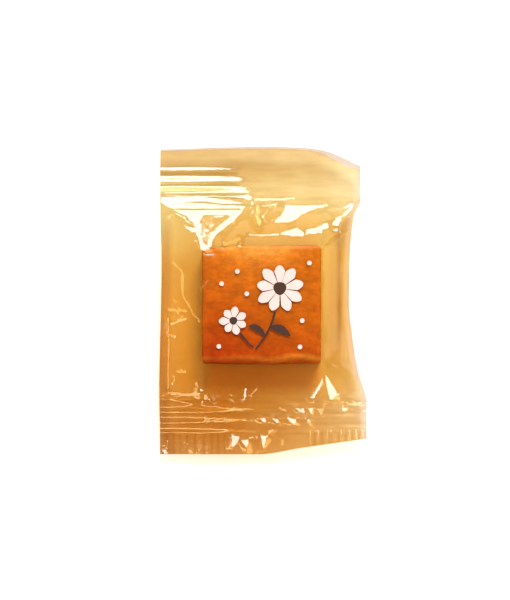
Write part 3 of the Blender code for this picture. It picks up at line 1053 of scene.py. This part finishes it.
def tone_ramp(tree, height, tones):
    """Colours read along the pack from a list of (y, colour)."""
    low, high = tones[0][0], tones[-1][0]
    ramp = put(tree, "ShaderNodeValToRGB", {"Fac": placed(tree, height, (low, high))})
    stops = ramp.color_ramp.elements
    while len(stops) < len(tones):
        stops.new(0.5)
    for stop, (y, colour) in zip(stops, tones):
        stop.position = (y - low) / (high - low)
        stop.color = (*colour, 1.0)
    return ramp.outputs["Color"]


def new_material(name):
    material = bpy.data.materials.new(name)
    material.use_nodes = True
    material.node_tree.nodes.clear()
    return material, material.node_tree


def finish_material(tree, shader):
    put(tree, "ShaderNodeOutputMaterial", {"Surface": shader})


def new_group(name, inputs, outputs):
    """A shader node group with named inputs and outputs, and the nodes that carry them."""
    tree = bpy.data.node_groups.new(name, "ShaderNodeTree")
    for label, kind, value in inputs:
        tree.interface.new_socket(label, in_out="INPUT", socket_type=kind).default_value = value
    for label, kind in outputs:
        tree.interface.new_socket(label, in_out="OUTPUT", socket_type=kind)
    return tree, tree.nodes.new("NodeGroupInput"), tree.nodes.new("NodeGroupOutput")


def stretched_noise(tree, place, stretch, scale, detail):
    stretched = put(tree, "ShaderNodeVectorMath", {0: place, 1: stretch}, operation="MULTIPLY")
    inputs = {"Vector": stretched.outputs["Vector"], "Scale": scale, "Detail": detail}
    return put(tree, "ShaderNodeTexNoise", inputs).outputs["Fac"]


def mottle_group():
    """Uneven tone: a colour made lighter and darker in soft blotches of a given size."""
    inputs = (
        ("Color", "NodeSocketColor", (1.0, 1.0, 1.0, 1.0)),
        ("Blotches per metre", "NodeSocketFloat", 250.0),
        ("Strength", "NodeSocketFloat", 0.15),
        ("Stretch", "NodeSocketVector", (1.0, 1.0, 1.0)),
    )
    outputs = (("Color", "NodeSocketColor"), ("Share", "NodeSocketFloat"))
    tree, given, result = new_group("mottle", inputs, outputs)
    place = put(tree, "ShaderNodeTexCoord").outputs["Object"]
    cloud = stretched_noise(tree, place, given.outputs["Stretch"], given.outputs["Blotches per metre"], 3.0)
    share = scaled(tree, cloud, *MOTTLE_SPREAD, -1.0, 1.0)
    change = calculate(tree, "MULTIPLY", share, given.outputs["Strength"])
    gain = calculate(tree, "ADD", change, 1.0)
    grey = put(tree, "ShaderNodeCombineColor", {"Red": gain, "Green": gain, "Blue": gain}).outputs["Color"]
    tree.links.new(blend(tree, 1.0, given.outputs["Color"], grey, "MULTIPLY"), result.inputs["Color"])
    tree.links.new(cloud, result.inputs["Share"])
    return tree


def use_group(tree, group, inputs):
    return put(tree, "ShaderNodeGroup", inputs, node_tree=group)


def relief(tree, height, strength, depth):
    """The slopes of a surface with a fine relief, whose depth is in millimetres."""
    inputs = {"Height": height, "Strength": strength, "Distance": depth * MM}
    return put(tree, "ShaderNodeBump", inputs).outputs["Normal"]


def object_place(tree):
    """The place on the object, and its parts across and along the pack."""
    place = put(tree, "ShaderNodeTexCoord").outputs["Object"]
    parts = put(tree, "ShaderNodeSeparateXYZ", {"Vector": place})
    return place, parts.outputs["X"], parts.outputs["Y"]


def film_material(mottle):
    """Clear amber film: it tints what it lets through, mirrors the lamps and is milky at its right fold."""
    material, tree = new_material("amber_film")
    place, across, along = object_place(tree)
    slanted = calculate(tree, "ADD", across, calculate(tree, "MULTIPLY", along, FILM_SLANT))
    # The tones and some zone factors paint light and shade into the tint.
    left, right = (tone_ramp(tree, along, tones) for tones in (FILM_LEFT_TONES_AND_LIGHT, FILM_RIGHT_TONES_AND_LIGHT))
    tint = blend(tree, placed(tree, slanted, FILM_SIDES), left, right)
    for name, factor in ZONE_TINTS_AND_LIGHT.items():
        tint = blend(tree, zone(tree, name), tint, factor, "MULTIPLY")
    cloud = stretched_noise(tree, place, (1.0, 1.0, 1.0), CLOUDS_PER_METRE, 3.0)
    tint = blend(tree, scaled(tree, cloud, *CLOUD_SPREAD), tint, FILM_CLOUD, "MULTIPLY")
    lines = stretched_noise(tree, place, LINE_STRETCH, LINES_PER_METRE, 2.0)
    pressed = calculate(tree, "MULTIPLY", zone(tree, "pressed"), scaled(tree, lines, *LINE_SPREAD))
    tint = blend(tree, pressed, tint, FILM_PRESSED, "MULTIPLY")
    clear = put(tree, "ShaderNodeBsdfTransparent", {"Color": tint})
    facing = put(tree, "ShaderNodeLayerWeight", {"Blend": 0.5}).outputs["Facing"]
    share = scaled(tree, calculate(tree, "POWER", facing, 5.0), 0.0, 1.0, FILM_REFLECTANCE, 1.0)
    ripple = use_group(tree, mottle, {"Blotches per metre": RIPPLES_PER_METRE, "Strength": 1.0})
    rippled = relief(tree, ripple.outputs["Share"], RIPPLE_STRENGTH, 0.1)
    gloss = put(tree, "ShaderNodeBsdfGlossy", {"Roughness": FILM_ROUGHNESS, "Normal": rippled})
    coated = put(tree, "ShaderNodeMixShader", {0: share, 1: clear.outputs["BSDF"], 2: gloss.outputs["BSDF"]})
    folds = calculate(tree, "MULTIPLY", zone(tree, "milky_fold"), FOLD_HAZE)
    rim = calculate(tree, "MULTIPLY", zone(tree, "free_rim"), RIM_HAZE)
    haze = calculate(tree, "MAXIMUM", folds, rim)
    milk = put(tree, "ShaderNodeBsdfDiffuse", {"Color": FILM_MILK})
    layers = {0: haze, 1: coated.outputs["Shader"], 2: milk.outputs["BSDF"]}
    blended = put(tree, "ShaderNodeMixShader", layers)
    finish_material(tree, blended.outputs["Shader"])
    return material


def caramel_material(mottle):
    """Soft sugar with pull marks and small blotches: lighter orange at the top as painted light, red-brown at
    the lower left as painted shade.
    """
    material, tree = new_material("caramel")
    _, across, along = object_place(tree)
    wander = use_group(tree, mottle, {"Blotches per metre": 160.0, "Strength": 1.0}).outputs["Share"]
    wandered = scaled(tree, wander, *WANDER_SPREAD, -TONE_WANDER * MM, TONE_WANDER * MM)
    off_middle = calculate(tree, "ABSOLUTE", calculate(tree, "ADD", across, -DULL_MIDDLE * MM), 0.0)
    at_sides = placed(tree, off_middle, DULL_RUN, 0.0, DULL_DROP * MM)
    duller = calculate(tree, "MULTIPLY", at_sides, placed(tree, along, DULL_ABOVE))
    height = calculate(tree, "SUBTRACT", calculate(tree, "ADD", along, wandered), duller)
    tone = tone_ramp(tree, height, CARAMEL_TONES_AND_LIGHT)
    to_left, to_bottom = placed(tree, across, SHADE_TO_LEFT), placed(tree, along, SHADE_TO_BOTTOM)
    off_rim = placed(tree, across, SHADE_OFF_RIM, RIM_SHADE, 1.0)
    shade = calculate(tree, "MULTIPLY", calculate(tree, "MULTIPLY", to_left, to_bottom), off_rim)
    tone = blend(tree, shade, tone, CARAMEL_SHADE, "MULTIPLY")
    for blotches, strength, stretch in CARAMEL_MOTTLES:
        inputs = {"Color": tone, "Blotches per metre": blotches, "Strength": strength, "Stretch": stretch}
        marks = use_group(tree, mottle, inputs)
        tone = marks.outputs["Color"]
    inputs = {
        "Base Color": tone,
        "Roughness": 0.42,
        "Specular IOR Level": 0.3,
        "Subsurface Weight": 0.12,
        "Subsurface Radius": (1.0, 0.3, 0.08),
        "Subsurface Scale": 2.5 * MM,
        "Normal": relief(tree, marks.outputs["Share"], 0.25, 0.3),
    }
    shader = put(tree, "ShaderNodeBsdfPrincipled", inputs)
    finish_material(tree, shader.outputs["BSDF"])
    return material


def ink_material(name, colour, mottle):
    """Opaque printing ink, laid down a little unevenly."""
    material, tree = new_material(name)
    tone = {"Color": colour, "Blotches per metre": 500.0, "Strength": 0.05}
    grain = use_group(tree, mottle, tone)
    inputs = {
        "Base Color": grain.outputs["Color"],
        "Roughness": 0.5,
        "Specular IOR Level": 0.2,
        "Normal": relief(tree, grain.outputs["Share"], 0.1, 0.1),
    }
    shader = put(tree, "ShaderNodeBsdfPrincipled", inputs)
    finish_material(tree, shader.outputs["BSDF"])
    return material


def floor_material():
    material, tree = new_material("pale_floor")
    grey = (FLOOR_GREY, FLOOR_GREY, FLOOR_GREY, 1.0)
    shader = put(tree, "ShaderNodeBsdfPrincipled", {"Base Color": grey, "Roughness": 0.9})
    finish_material(tree, shader.outputs["BSDF"])
    return material


def aim(item, at):
    item.rotation_euler = (Vector(at) * MM - item.location).to_track_quat("-Z", "Y").to_euler()


def add_lamp(name, values, in_gloss):
    """A soft rectangular lamp whose face has the stated radiance, seen in gloss or by matt surfaces."""
    at, size, radiance, colour = values
    width, height = (breadth * MM for breadth in size)
    data = bpy.data.lights.new(name, "AREA")
    data.shape = "RECTANGLE"
    data.size, data.size_y = width, height
    data.energy = radiance * math.pi * width * height
    data.color = colour
    lamp = bpy.data.objects.new(name, data)
    lamp.location = Vector(at) * MM
    lamp.visible_glossy = in_gloss
    lamp.visible_diffuse = not in_gloss
    aim(lamp, (0.0, 0.0, VIEW_PLANE_Z))
    bpy.context.scene.collection.objects.link(lamp)


def build_room_light():
    """Even white light from all round, which the gloss sees as a dim room."""
    world = bpy.data.worlds.new("studio")
    world.use_nodes = True
    tree = world.node_tree
    tree.nodes.clear()
    seen_in_gloss = put(tree, "ShaderNodeLightPath").outputs["Is Glossy Ray"]
    strength = scaled(tree, seen_in_gloss, 0.0, 1.0, AMBIENT, AMBIENT_IN_GLOSS)
    background = put(tree, "ShaderNodeBackground", {"Color": (1.0, 1.0, 1.0, 1.0), "Strength": strength})
    put(tree, "ShaderNodeOutputWorld", {"Surface": background.outputs["Background"]})
    bpy.context.scene.world = world


def build_studio():
    bpy.ops.mesh.primitive_plane_add(size=4.0, location=(0.0, 0.0, -0.2 * MM))
    floor = bpy.context.object
    floor.name = "floor"
    floor.data.materials.append(floor_material())
    floor.visible_glossy = False
    for name, values in LAMPS.items():
        add_lamp(name, values, in_gloss=True)
    add_lamp("key_lamp", KEY_LAMP, in_gloss=False)
    build_room_light()
    bpy.context.scene.view_settings.view_transform = "Standard"


def build_camera():
    data = bpy.data.cameras.new("camera")
    data.sensor_width = SENSOR
    data.lens = SENSOR * CAMERA_DISTANCE / VIEW_LENGTH
    camera = bpy.data.objects.new("camera", data)
    camera.location = Vector((*CAMERA_AT, CAMERA_DISTANCE + VIEW_PLANE_Z)) * MM
    bpy.context.scene.collection.objects.link(camera)
    bpy.context.scene.camera = camera


def dress(piece, material):
    """A piece gets its finish, and rides on the pack's body."""
    piece.data.materials.append(material)
    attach(piece, "root")


def main():
    build_camera()
    build_studio()
    mottle = mottle_group()
    film = film_material(mottle)
    for sheet in build_film():
        dress(sheet, film)
        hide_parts("film_pack")
    dress(build_caramel(), caramel_material(mottle))
    inks = {name: ink_material(name, colour, mottle) for name, colour in INKS.items()}
    for piece, ink in build_print():
        dress(piece, inks[ink])


main()
